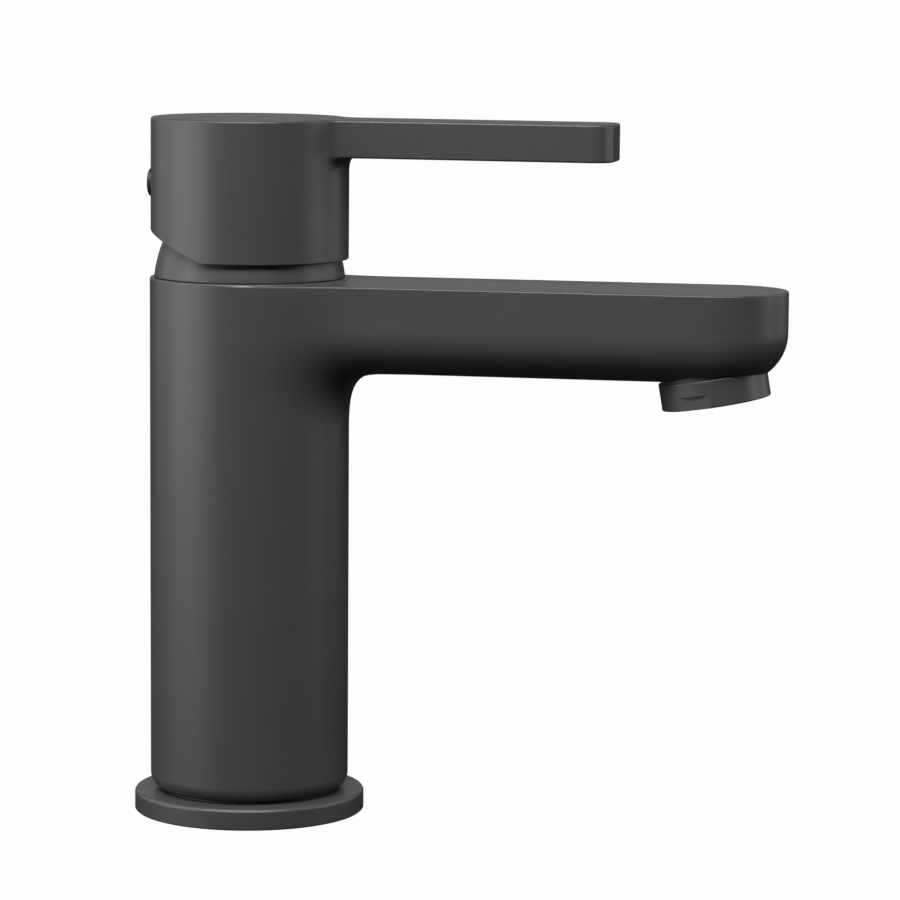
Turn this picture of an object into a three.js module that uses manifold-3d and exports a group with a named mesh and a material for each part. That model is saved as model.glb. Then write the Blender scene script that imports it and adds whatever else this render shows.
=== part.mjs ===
// Single-lever basin mixer faucet: a brass column and spout on a base ring, a 35 mm ceramic-disc
// cartridge under a domed cover, a lever handle that turns and lifts, and a tilted aerator.
// Millimetres, +Z up, +X towards the basin. The origin is on the column's axis, on the deck.
import * as THREE from "three";
import { mergeVertices } from "three/addons/utils/BufferGeometryUtils.js";
import Module from "manifold-3d";

const wasm = await Module();
wasm.setup();

// ---- driving dimensions ------------------------------------------------------------------------
const GAP = 0.3; // running or seating clearance between neighbours
const PAST = 1; // how far a cutting shape runs past the face it opens

const CARTRIDGE_RADIUS = 17.5;
const NUT_RADIUS = CARTRIDGE_RADIUS + 2.1;
const NUT_WALL = 3.1; // metal of the column outside the nut's thread
const BODY_RADIUS = NUT_RADIUS + GAP + NUT_WALL;
const BODY_TOP = 124.4;
const BODY_WALL = 3.5;
const BODY_RIM_FILLET = 0.6;
const BODY_FOOT_FILLET = 3.5;
const SPIGOT_RADIUS = BODY_RADIUS - 3.2;

const RING_RADIUS = BODY_RADIUS + 3.7;
const RING_HEIGHT = 4.9;
const RING_FILLET = 0.8;
const GROOVE_RIM = 1.6; // metal left outside the gasket's groove
const GASKET_WIDTH = 2.4;
const GASKET_HEIGHT = 2;

const SPOUT_HALF_WIDTH = 16;
const SPOUT_END_X = 108.7; // centre of the round end
const SPOUT_DROP = 0.5; // from the column's rim down to the spout's flat top
const SPOUT_HEIGHT = 20.45;
const SPOUT_TOP_FILLET = 1;
const SPOUT_BOTTOM_FILLET = 10;
const SPOUT_ROOT_FILLET = 12; // in plan, between the column and the spout's sides
const SPOUT_HEEL_FILLET = 4.5; // in the corner between the spout's underside and the column
const SPOUT_WALL = 3;
const SPOUT_SINK = 0.85; // share of the column's radius that the spout's root runs in to

const BASE_PLATE = 14; // solid metal at the foot, which holds the inlet and stud threads
const INLET_RADIUS = 4.5; // M10 hose thread
const INLET_OFFSET = 9.5;
const STUD_RADIUS = 3.4; // M8 stud thread
const STUD_OFFSET = 13;
const STUD_DEPTH = 11;
const WATERWAY_WEB = 4;
const SEAT_THICKNESS = 7;

const SEAT_DEPTH = 22.9; // from the column's rim down to the cartridge seat
const HOUSING_WALL = 3.5;
const HOUSING_SKIRT = 4.8; // from the housing's shoulder up to the rotor's washer
const HOUSING_O_RING = 1.5; // width and height
const HOUSING_O_RING_LIFT = 1.6; // above the housing's foot
const DISC_RADIUS = CARTRIDGE_RADIUS - HOUSING_WALL - 1;
const DISC_THICKNESS = 3;
const MOVING_RADIUS = DISC_RADIUS - 2.8;
const PORT_RADIUS = 2.8;
const PORT_X = (-5.5 / 13) * DISC_RADIUS; // the three openings as on a disc of 13 mm radius
const PORT_Y = (6.8 / 13) * DISC_RADIUS;
const OUTLET_X = (6.6 / 13) * DISC_RADIUS;
const SIDE_OUTLET_HALF = 5;
const HOLLOW_BACK = 1.5; // hollow under the moving disc, behind the axis
const HOLLOW_HALF = 4.5;
const HOLLOW_DEPTH = 1.6;
const BASE_FOOT = 2.4;
const BASE_NECK_RADIUS = CARTRIDGE_RADIUS - 3.5;
const BASE_NECK = 3.7;
const BASE_FLANGE = 1.8;
const SEAL_WIDTH = 1.3;
const SEAL_HEIGHT = 1.9;
const DISC_GASKET = 0.6;
const CARRIER_HEIGHT = 3.6;
const NECK_RADIUS = CARTRIDGE_RADIUS - 2.1;
const ROTOR_RADIUS = CARTRIDGE_RADIUS - HOUSING_WALL - 1.6;
const ROTOR_FLANGE = 1.7;
const ROTOR_WASHER = 0.6;
const ROTOR_HEIGHT = 7.4; // above its flange
const LIMIT_RING_HEIGHT = 2;
const LIMIT_RING_RADIUS = CARTRIDGE_RADIUS - 0.1;
const LUG_HEIGHT = 1.8; // rotor's lug, which meets the limit ring's stops
const LUG_HALF_ANGLE = 10; // degrees
const STOP_MARGIN = 3; // degrees that the lug keeps from a stop at the turn limit
const NUT_HEAD = 3;
const NUT_HEAD_SIDES = 12;

const PIVOT_ABOVE_RIM = 3.6;
const PIN_RADIUS = 2;
const PIN_LENGTH = 2 * ROTOR_RADIUS - 1.8;
const STEM_X = 8;
const STEM_Y = 6.8;
const STEM_RISE = 22.3; // pivot to the top of the stem
const STEM_EYE = 4.4;
const FOOT_RADIUS = 2.6;
const FOOT_ARM = 7.3; // pivot to the centre of the stem's ball foot
const MAX_LIFT = 22; // degrees
const TURN_LIMIT = 45; // degrees each way

const DOME_RADIUS = BODY_RADIUS - 1;
const DOME_BULGE = 29; // radius of the dome's profile
const DOME_BULGE_DROP = 2.8; // centre of that profile below the rim
const DOME_VISIBLE = 8.2;
const DOME_HEIGHT = 12.1;
const DOME_HOLE = DOME_RADIUS - 10.5;
const DOME_SHOULDER = 2.5; // flat top round the hole
const DOME_WALL = 1.3;
const DOME_O_RING = 0.6;
const DOME_STEPS = 4; // facets up the side of the dome

const CAP_RADIUS = BODY_RADIUS - 0.2;
const CAP_LIFT = 4.4; // gap between the column's rim and the handle's underside
const CAP_HEIGHT = 32.3;
const CAP_FILLET = 1.3;
const CAP_WALL = 1.5;
const CAP_MOUTH_FLARE = 0.6; // the hollow's mouth widens by this, so the lifted handle clears the dome
const CAP_MOUTH_RISE = 5;
const CAP_ROOF_RADIUS = CAP_RADIUS - 0.3; // hollow, round the pivot
const HEEL_CUT_X = -5.5;
const BOSS_RADIUS = 7.5;
const BOSS_DROP = 9.2; // boss below the roof of the hollow
const LEVER_REACH = 85.2;
const LEVER_HALF_WIDTH = 8.5;
const LEVER_THICKNESS = 8.55;
const LEVER_CORNER = 4.5;
const LEVER_FILLET = 1.3;
const HANDLE_DROOP = 0.15; // degrees of play, nose down
const GRUB_RADIUS = 2.5;
const GRUB_LENGTH = 12;
const GRUB_RIB = 2; // metal round the set screw's hole
const HEX_RADIUS = 1.45;
const HEX_DEPTH = 3;
const PLUG_RADIUS = 3.35;
const PLUG_DEPTH = 2.4;
const PLUG_PROUD = 1.3;
const PLUG_CHAMFER = 0.6;
const PLUG_BELOW_TOP = 15.4;

const AERATOR_TILT = 9.6; // degrees, so the stream leaves forwards
const AERATOR_RADIUS = 12.4;
const AERATOR_DROP = 5.1;
const AERATOR_COLLAR_TOP = 1.2;
const AERATOR_SHANK_RADIUS = AERATOR_RADIUS - 0.8;
const AERATOR_SHANK = 7;
const AERATOR_BORE = AERATOR_RADIUS - 2.2;
const AERATOR_LIP = 1;
const WASHER_LEDGE = 1.5; // how far the washer's seat reaches inside the bore
const SOCKET_WALL = 2; // metal round and above the aerator's socket
const INSERT_WALL = 1.2;
const INSERT_FLOOR = 2;
const JET_RADIUS = 0.9;
const AERATOR_FLAT_WIDTH = 7.2;
const AERATOR_FLAT_HEIGHT = 3.1;
const AERATOR_FLAT_DEPTH = 0.55;
const AERATOR_FLAT_ANGLE = -105; // degrees round the aerator's axis
const AERATOR_WASHER = 2;
const SCREEN_THICKNESS = 0.6;

// ---- values worked out from them -----------------------------------------------------------------
const radians = THREE.MathUtils.degToRad;
const spoutTop = BODY_TOP - SPOUT_DROP;
const spoutBottom = spoutTop - SPOUT_HEIGHT;
const seatZ = BODY_TOP - SEAT_DEPTH;
const boreRadius = CARTRIDGE_RADIUS + GAP;
const pivotZ = BODY_TOP + PIVOT_ABOVE_RIM;
const baseBottom = seatZ + GAP;
const baseNeckBottom = baseBottom + BASE_FOOT;
const baseFlangeBottom = baseNeckBottom + BASE_NECK;
const baseTop = baseFlangeBottom + BASE_FLANGE;
const gasketBottom = baseTop + GAP;
const fixedBottom = gasketBottom + DISC_GASKET + GAP;
const movingBottom = fixedBottom + DISC_THICKNESS + GAP;
const carrierBottom = movingBottom + DISC_THICKNESS + GAP;
const carrierTop = carrierBottom + CARRIER_HEIGHT;
const rotorBottom = carrierTop + GAP;
const washerBottom = rotorBottom + ROTOR_FLANGE + GAP;
const housingBottom = baseTop + GAP;
const housingInner = CARTRIDGE_RADIUS - HOUSING_WALL;
const housingShoulder = washerBottom - HOUSING_SKIRT;
const housingRoof = washerBottom + ROTOR_WASHER + GAP;
const rotorTop = rotorBottom + ROTOR_FLANGE + ROTOR_HEIGHT;
const housingTop = rotorTop - LIMIT_RING_HEIGHT - 2 * GAP;
const capBottom = BODY_TOP + CAP_LIFT;
const capTop = capBottom + CAP_HEIGHT;
const leverBottom = capTop - LEVER_THICKNESS;
const hollowTop = pivotZ + CAP_ROOF_RADIUS;
const bossBottom = hollowTop - BOSS_DROP;
const plugZ = capTop - PLUG_BELOW_TOP;

// ---- shaping helpers -------------------------------------------------------------------------------
// A closed geometry as a solid, with its shared vertices merged and its faces turned outwards.
function solid(geometry) {
  const plain = new THREE.BufferGeometry();
  plain.setAttribute("position", geometry.getAttribute("position"));
  if (geometry.index) plain.setIndex(geometry.index);
  const merged = mergeVertices(plain, 1e-4);
  const corners = [];
  for (let i = 0; i < merged.index.count; i += 3) {
    const [a, b, c] = [0, 1, 2].map((k) => merged.index.getX(i + k));
    if (a !== b && b !== c && c !== a) corners.push(a, b, c);
  }
  const build = (triVerts) =>
    new wasm.Manifold(
      new wasm.Mesh({
        numProp: 3,
        vertProperties: new Float32Array(merged.attributes.position.array),
        triVerts: new Uint32Array(triVerts),
      }),
    );
  const made = build(corners);
  return made.volume() < 0 ? build(corners.reverse()) : made;
}

const fuse = (first, ...rest) => rest.reduce((sum, next) => sum.add(next), first);
const carve = (first, ...rest) => rest.reduce((sum, next) => sum.subtract(next), first);

// A profile of [radius, height] points turned round Z; it starts and ends on the axis or is closed.
function turned(profile, segments = 32) {
  const points = profile.map(([r, z]) => new THREE.Vector2(r, z));
  return solid(new THREE.LatheGeometry(points, segments).rotateX(Math.PI / 2));
}

function rod(radius, bottom, top, segments = 24, x = 0, y = 0) {
  const shape = new THREE.CylinderGeometry(radius, radius, top - bottom, segments);
  return solid(shape.rotateX(Math.PI / 2).translate(x, y, (bottom + top) / 2));
}

function ring(inner, outer, bottom, top, segments = 32) {
  const corners = [
    [inner, bottom],
    [outer, bottom],
    [outer, top],
    [inner, top],
    [inner, bottom],
  ];
  return turned(corners, segments);
}

const ringAt = (x, y, ...sizes) => ring(...sizes).translate([x, y, 0]);

function rodAlongX(radius, from, to, y, z, segments = 24) {
  const shape = new THREE.CylinderGeometry(radius, radius, to - from, segments);
  return solid(shape.rotateZ(Math.PI / 2).translate((from + to) / 2, y, z));
}

function rodAlongY(radius, length, z, segments = 24) {
  return solid(new THREE.CylinderGeometry(radius, radius, length, segments).translate(0, 0, z));
}

function block(x0, x1, y0, y1, z0, z1) {
  const shape = new THREE.BoxGeometry(x1 - x0, y1 - y0, z1 - z0);
  return solid(shape.translate((x0 + x1) / 2, (y0 + y1) / 2, (z0 + z1) / 2));
}

// Points of an arc from one angle to another, both ends included.
function arc(x, y, radius, from, to, steps) {
  return Array.from({ length: steps + 1 }, (_, i) => {
    const angle = from + ((to - from) * i) / steps;
    return [x + radius * Math.cos(angle), y + radius * Math.sin(angle)];
  });
}

// A solid through level outlines that all have the same number of points.
const FAN_INSET = 0.5;
function stacked(levels) {
  const count = levels[0].outline.length;
  const positions = [];
  const index = [];
  for (const { outline, z } of levels) for (const [x, y] of outline) positions.push(x, y, z);
  for (let level = 0; level + 1 < levels.length; level++) {
    for (let i = 0; i < count; i++) {
      const a = level * count + i;
      const b = level * count + ((i + 1) % count);
      index.push(a, b, b + count, a, b + count, a + count);
    }
  }
  // Each end is a fan round a point near the first edge, which every outline here can see.
  const cap = (outline, start, flip) => {
    const middle = positions.length / 3;
    const [[x0, y0], [x1, y1]] = [outline[0], outline.at(-1)];
    positions.push((x0 + x1) / 2 + FAN_INSET, (y0 + y1) / 2, flip ? levels[0].z : levels.at(-1).z);
    for (let i = 0; i < count; i++) {
      const [a, b] = [start + i, start + ((i + 1) % count)];
      index.push(...(flip ? [b, a, middle] : [a, b, middle]));
    }
  };
  cap(levels[0].outline, 0, true);
  cap(levels.at(-1).outline, (levels.length - 1) * count, false);
  const geometry = new THREE.BufferGeometry();
  geometry.setAttribute("position", new THREE.Float32BufferAttribute(positions, 3));
  geometry.setIndex(index);
  return solid(geometry);
}

// Levels of an outline whose lower and upper edges are rounded; outlineAt(inset) gives the outline.
function roundedLevels(outlineAt, bottom, top, bottomFillet, topFillet, bottomSteps, topSteps) {
  const lower = arc(0, 0, bottomFillet, 0, Math.PI / 2, bottomSteps)
    .reverse()
    .map(([out, down]) => ({ inset: bottomFillet - out, z: bottom + bottomFillet - down }));
  const upper = arc(0, 0, topFillet, 0, Math.PI / 2, topSteps).map(([out, up]) => ({
    inset: topFillet - out,
    z: top - topFillet + up,
  }));
  return [...lower, ...upper].map(({ inset, z }) => ({ outline: outlineAt(inset), z }));
}

function piece(name, shape, material) {
  const made = shape.getMesh();
  const geometry = new THREE.BufferGeometry();
  const positions = new Float32Array(made.numVert * 3);
  for (let i = 0; i < made.numVert; i++) {
    const start = i * made.numProp;
    positions.set(made.vertProperties.subarray(start, start + 3), i * 3);
  }
  geometry.setAttribute("position", new THREE.BufferAttribute(positions, 3));
  geometry.setIndex(new THREE.BufferAttribute(made.triVerts, 1));
  geometry.computeVertexNormals();
  const mesh = new THREE.Mesh(geometry, material);
  mesh.name = name;
  return mesh;
}

// ---- materials ----------------------------------------------------------------------------------------
const finish = (color, roughness, metalness) =>
  new THREE.MeshStandardMaterial({ color, roughness, metalness });
const mattBlack = finish(0x2b2b2c, 0.45, 0.3);
const brass = finish(0xb08d4a, 0.35, 1);
const steel = finish(0xa8abae, 0.3, 1);
const ceramic = finish(0xe9e6df, 0.25, 0);
const rubber = finish(0x161616, 0.8, 0);
const acetal = finish(0xf2f1ec, 0.5, 0);
const greyPlastic = finish(0x8f9498, 0.5, 0);
const redPlastic = finish(0xb3261e, 0.5, 0);

// ---- body, spout and what stands under them --------------------------------------------------------------
// The spout in plan, inset from its widest outline: fillets at the column, straight sides, round end.
// The water's hollow has no fillets and starts square at startX.
function spoutOutline(inset, startX) {
  const half = SPOUT_HALF_WIDTH - inset;
  const end = arc(SPOUT_END_X, 0, half, -Math.PI / 2, Math.PI / 2, 16);
  if (startX !== undefined) return [[startX, -half], ...end, [startX, half]];
  const column = BODY_RADIUS - inset - GAP;
  const fillet = SPOUT_ROOT_FILLET + inset;
  const centreX = Math.sqrt((column + fillet) ** 2 - (half + fillet) ** 2);
  const lean = Math.atan2(half + fillet, centreX);
  const blend = arc(centreX, -half - fillet, fillet, Math.PI - lean, Math.PI / 2, 4);
  const side = [blend[0].map((at) => at * SPOUT_SINK), ...blend];
  return [...side, ...end, ...side.map(([x, y]) => [x, -y]).reverse()];
}

// The concave corner between the spout's underside and the column.
function spoutHeel() {
  const radius = SPOUT_HEEL_FILLET;
  const half = SPOUT_HALF_WIDTH - SPOUT_BOTTOM_FILLET + PAST;
  const centre = [BODY_RADIUS - GAP + radius, spoutBottom + GAP - radius];
  const corner = arc(...centre, radius, Math.PI, Math.PI / 2, 4);
  const inside = Math.sqrt(BODY_RADIUS ** 2 - half ** 2) - PAST;
  const top = spoutBottom + PAST;
  const outline = [...corner, [centre[0], top], [inside, top], [inside, centre[1]]];
  const shape = new THREE.Shape(outline.map(([x, z]) => new THREE.Vector2(x, z)));
  const slab = new THREE.ExtrudeGeometry(shape, { depth: 2 * half, bevelEnabled: false });
  return solid(slab.rotateX(Math.PI / 2).translate(0, half, 0));
}

function columnShape() {
  const foot = arc(
    BODY_RADIUS - BODY_FOOT_FILLET,
    RING_HEIGHT + GAP + BODY_FOOT_FILLET,
    BODY_FOOT_FILLET,
    -Math.PI / 2,
    0,
    3,
  );
  const rimCentre = [BODY_RADIUS - BODY_RIM_FILLET, BODY_TOP - BODY_RIM_FILLET];
  const rim = arc(...rimCentre, BODY_RIM_FILLET, 0, Math.PI / 2, 1);
  const spigot = [
    [0, 0],
    [SPIGOT_RADIUS, 0],
    [SPIGOT_RADIUS, RING_HEIGHT + GAP],
  ];
  const start = foot[0][0] > SPIGOT_RADIUS ? foot : foot.slice(1);
  return turned([...spigot, ...start, ...rim, [0, BODY_TOP]], 48);
}

// One of the two waterways inside the column, a half moon beside the central web.
function waterway(side) {
  const radius = BODY_RADIUS - BODY_WALL;
  const from = Math.asin(WATERWAY_WEB / 2 / radius);
  const points = arc(0, 0, radius, from, Math.PI - from, 12);
  const shape = new THREE.Shape(points.map(([x, y]) => new THREE.Vector2(x, y)));
  const depth = seatZ - SEAT_THICKNESS - BASE_PLATE;
  const moon = new THREE.ExtrudeGeometry(shape, { depth, bevelEnabled: false });
  if (side < 0) moon.rotateZ(Math.PI);
  return fuse(
    solid(moon.translate(0, 0, BASE_PLATE)),
    rod(INLET_RADIUS, -PAST, BASE_PLATE + PAST, 24, 0, side * INLET_OFFSET),
    rod(PORT_RADIUS, seatZ - SEAT_THICKNESS - PAST, seatZ + PAST, 20, PORT_X, side * PORT_Y),
  );
}

// Things on the aerator's tilted axis are drawn upright at the origin and then placed by this.
const aeratorX = SPOUT_END_X - (AERATOR_DROP / 2) * Math.tan(radians(AERATOR_TILT)) - 0.3;
const aeratorPlace = { position: [aeratorX, 0, spoutBottom], tilt: -AERATOR_TILT };
function placed(shape) {
  return shape.rotate([0, aeratorPlace.tilt, 0]).translate(aeratorPlace.position);
}
const shankTop = AERATOR_COLLAR_TOP + AERATOR_SHANK;
const socketTop = shankTop + 2 * GAP + AERATOR_WASHER;

function faucetBody() {
  const spout = (wall, startX) =>
    stacked(
      roundedLevels(
        (inset) => spoutOutline(inset + wall, startX),
        spoutBottom + wall,
        spoutTop - wall,
        SPOUT_BOTTOM_FILLET - wall,
        SPOUT_TOP_FILLET,
        wall ? 2 : 4,
        wall ? 1 : 2,
      ),
    );
  const outside = fuse(columnShape(), spout(0), spoutHeel());
  const cavityStart = boreRadius + SPOUT_WALL;
  const boss = placed(rod(AERATOR_RADIUS + SOCKET_WALL, -2 * PAST, socketTop + SOCKET_WALL, 32));
  const socket = fuse(
    placed(rod(AERATOR_RADIUS + GAP, -AERATOR_DROP, AERATOR_COLLAR_TOP + GAP, 32)),
    placed(rod(AERATOR_SHANK_RADIUS + GAP, -PAST, socketTop, 32)),
    placed(rod(AERATOR_BORE - WASHER_LEDGE, 0, socketTop + SOCKET_WALL + PAST, 24)),
  );
  const windowTop = housingBottom - GAP;
  const outletWindow = block(
    boreRadius - 2 * PAST,
    cavityStart + PAST,
    -SPOUT_HALF_WIDTH / 2,
    SPOUT_HALF_WIDTH / 2,
    spoutBottom + SPOUT_WALL + GAP,
    windowTop,
  );
  return carve(
    outside,
    carve(spout(SPOUT_WALL, cavityStart), boss),
    rod(boreRadius, seatZ, BODY_TOP + PAST, 40),
    rod(NUT_RADIUS + GAP, housingShoulder - 1, BODY_TOP + PAST, 40),
    outletWindow,
    socket,
    waterway(1),
    waterway(-1),
    rod(STUD_RADIUS, -PAST, STUD_DEPTH, 20, STUD_OFFSET, 0),
    rod(STUD_RADIUS, -PAST, STUD_DEPTH, 20, -STUD_OFFSET, 0),
  );
}

const grooveOuter = RING_RADIUS - GROOVE_RIM;
const gasketOuter = grooveOuter - GAP;

function baseRing() {
  const inner = SPIGOT_RADIUS + GAP;
  const edge = arc(RING_RADIUS - RING_FILLET, RING_HEIGHT - RING_FILLET, RING_FILLET, 0, Math.PI / 2, 2);
  const profile = [[inner, 0], [RING_RADIUS, 0], ...edge, [inner, RING_HEIGHT], [inner, 0]];
  const groove = ring(
    gasketOuter - GASKET_WIDTH - GAP,
    grooveOuter,
    -PAST,
    GASKET_HEIGHT + GAP,
    32,
  );
  return carve(turned(profile, 48), groove);
}

// ---- cartridge -------------------------------------------------------------------------------------------
const ports = [
  [PORT_X, PORT_Y],
  [PORT_X, -PORT_Y],
];
const sealOuter = PORT_RADIUS + SEAL_WIDTH;
const portHoles = (bottom, top, radius = PORT_RADIUS) =>
  ports.map(([x, y]) => rod(radius, bottom - PAST, top + PAST, 16, x, y));
const outletHole = (bottom, top) => rod(PORT_RADIUS, bottom - PAST, top + PAST, 16, OUTLET_X, 0);

function cartridgeBase() {
  const blank = fuse(
    rod(CARTRIDGE_RADIUS - GAP, baseBottom, baseNeckBottom, 32),
    rod(BASE_NECK_RADIUS, baseNeckBottom - 0.1, baseFlangeBottom + 0.1, 32),
    rod(CARTRIDGE_RADIUS - GAP, baseFlangeBottom, baseTop, 32),
  );
  const sideOutlet = block(
    OUTLET_X - PORT_RADIUS,
    BASE_NECK_RADIUS + PAST,
    -SIDE_OUTLET_HALF,
    SIDE_OUTLET_HALF,
    baseNeckBottom,
    baseFlangeBottom,
  );
  const sealSeats = ports.map(([x, y]) =>
    rod(sealOuter + GAP, baseBottom - PAST, baseBottom + SEAL_HEIGHT + GAP, 24, x, y),
  );
  return carve(
    blank,
    ...portHoles(baseBottom, baseTop),
    ...sealSeats,
    sideOutlet,
    outletHole(baseFlangeBottom, baseTop),
  );
}

const portSeal = ([x, y]) =>
  ringAt(x, y, PORT_RADIUS, sealOuter, baseBottom, baseBottom + SEAL_HEIGHT, 16);

const holedDisc = (radius, bottom, top) =>
  carve(rod(radius, bottom, top, 32), ...portHoles(bottom, top), outletHole(bottom, top));

const oRingBottom = housingBottom + HOUSING_O_RING_LIFT;
const oRingInner = CARTRIDGE_RADIUS - HOUSING_O_RING + GAP;

function cartridgeHousing() {
  const grooveBottom = oRingBottom - GAP;
  const grooveTop = oRingBottom + HOUSING_O_RING + GAP;
  const outside = fuse(
    rod(CARTRIDGE_RADIUS, housingBottom, housingShoulder, 32),
    rod(NECK_RADIUS, housingBottom, housingTop, 32),
  );
  return carve(
    outside,
    rod(housingInner, housingBottom - PAST, housingRoof, 32),
    rod(ROTOR_RADIUS + GAP, housingBottom, housingTop + PAST, 32),
    ring(oRingInner - GAP, CARTRIDGE_RADIUS + PAST, grooveBottom, grooveTop, 32),
  );
}
const housingORing = () =>
  ring(oRingInner, CARTRIDGE_RADIUS, oRingBottom, oRingBottom + HOUSING_O_RING, 32);

// The hollow under the moving ceramic disc joins the ports that it uncovers.
function movingDisc() {
  const top = movingBottom + DISC_THICKNESS;
  const roof = movingBottom + HOLLOW_DEPTH;
  const hollow = block(-HOLLOW_BACK, OUTLET_X, -HOLLOW_HALF, HOLLOW_HALF, movingBottom - PAST, roof);
  return carve(rod(MOVING_RADIUS, movingBottom, top, 40), hollow);
}

const footClear = FOOT_RADIUS + GAP + 0.05;
const discCarrier = () =>
  carve(
    rod(MOVING_RADIUS, carrierBottom, carrierTop, 40),
    block(-footClear, footClear, -footClear, footClear, carrierBottom - PAST, carrierTop + PAST),
  );

const slotHalf = STEM_X / 2 + 2.4;
function wedge(halfAngle, inner, outer, bottom, top, centre) {
  const from = radians(centre - halfAngle);
  const to = radians(centre + halfAngle);
  const points = [...arc(0, 0, outer, from, to, 12), ...arc(0, 0, inner, to, from, 12)];
  const shape = new THREE.Shape(points.map(([x, y]) => new THREE.Vector2(x, y)));
  const slab = new THREE.ExtrudeGeometry(shape, { depth: top - bottom, bevelEnabled: false });
  return solid(slab.translate(0, 0, bottom));
}

function stemRotor() {
  const flangeTop = rotorBottom + ROTOR_FLANGE;
  const blank = fuse(
    rod(housingInner - GAP, rotorBottom, flangeTop, 32),
    rod(ROTOR_RADIUS, rotorBottom, rotorTop, 32),
    wedge(LUG_HALF_ANGLE, ROTOR_RADIUS - 1, NECK_RADIUS - 0.8, rotorTop - LUG_HEIGHT, rotorTop, 180),
  );
  const halfY = STEM_Y / 2 + GAP;
  return carve(
    blank,
    block(-slotHalf, slotHalf, -halfY, halfY, rotorBottom - PAST, rotorTop + PAST),
    rodAlongY(PIN_RADIUS + GAP, 4 * ROTOR_RADIUS, pivotZ, 20),
  );
}

// The ring lets the rotor's lug travel through the turn limit and a little more.
function hotLimitRing() {
  const bottom = housingTop + GAP;
  const stopHalf = 180 - LUG_HALF_ANGLE - TURN_LIMIT - STOP_MARGIN;
  const stopInner = ROTOR_RADIUS + GAP;
  const stopOuter = NECK_RADIUS + 0.5;
  return fuse(
    ring(NECK_RADIUS - GAP, LIMIT_RING_RADIUS, bottom, bottom + LIMIT_RING_HEIGHT, 32),
    wedge(stopHalf, stopInner, stopOuter, bottom, bottom + LIMIT_RING_HEIGHT, 0),
  );
}

function cartridgeNut() {
  const bottom = housingShoulder + GAP;
  return carve(
    fuse(
      rod(NUT_RADIUS, bottom, BODY_TOP, 64),
      rod(nutHeadRadius, BODY_TOP - 0.1, BODY_TOP + NUT_HEAD, NUT_HEAD_SIDES),
    ),
    rod(NECK_RADIUS + GAP, bottom - PAST, BODY_TOP + NUT_HEAD + PAST, 32),
  );
}

function cartridgeStem() {
  const foot = new THREE.SphereGeometry(FOOT_RADIUS, 12, 8).rotateX(Math.PI / 2);
  const shank = FOOT_RADIUS * 0.75;
  return carve(
    fuse(
      rodAlongY(STEM_EYE, STEM_Y, pivotZ, 28),
      block(-STEM_X / 2, STEM_X / 2, -STEM_Y / 2, STEM_Y / 2, pivotZ, pivotZ + STEM_RISE),
      rod(shank, pivotZ - FOOT_ARM, pivotZ - STEM_EYE + 1, 20),
      solid(foot.translate(0, 0, pivotZ - FOOT_ARM)),
    ),
    rodAlongY(PIN_RADIUS + GAP, 3 * STEM_Y, pivotZ, 20),
  );
}

// ---- cover, handle ---------------------------------------------------------------------------------------
// The dome's radius at a height above the rim, for a shell set in by a wall.
const bulgeX = DOME_RADIUS - Math.sqrt(DOME_BULGE ** 2 - DOME_BULGE_DROP ** 2);
const domeRadiusAt = (up, wall) =>
  bulgeX + Math.sqrt((DOME_BULGE - wall) ** 2 - (up + DOME_BULGE_DROP) ** 2);

function domeCover() {
  const shell = (wall, from) => {
    const side = Array.from({ length: DOME_STEPS + 1 }, (_, i) => {
      const up = from + ((DOME_VISIBLE - from) * i) / DOME_STEPS;
      return [domeRadiusAt(up, wall), BODY_TOP + up];
    });
    return [...side, [DOME_HOLE + DOME_SHOULDER, BODY_TOP + DOME_HEIGHT - wall]];
  };
  const outer = shell(0, GAP);
  const inner = shell(DOME_WALL, GAP).reverse();
  const lipTop = [DOME_HOLE, BODY_TOP + DOME_HEIGHT];
  const lipBottom = [DOME_HOLE, BODY_TOP + DOME_HEIGHT - DOME_WALL];
  return turned([...outer, lipTop, lipBottom, ...inner, outer[0]], 48);
}

const domeORingOuter = domeRadiusAt(NUT_HEAD, DOME_WALL) - GAP;
const nutHeadRadius = domeORingOuter - DOME_O_RING - GAP;
const domeORing = () =>
  ring(domeORingOuter - DOME_O_RING, domeORingOuter, BODY_TOP + GAP, BODY_TOP + 1.5, 32);

function leverOutline(inset) {
  const half = LEVER_HALF_WIDTH - inset;
  const corner = LEVER_CORNER - inset;
  const x = LEVER_REACH - LEVER_CORNER;
  const y = LEVER_HALF_WIDTH - LEVER_CORNER;
  return [
    [0, -half],
    ...arc(x, -y, corner, -Math.PI / 2, 0, 4),
    ...arc(x, y, corner, 0, Math.PI / 2, 4),
    [0, half],
  ];
}

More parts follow.
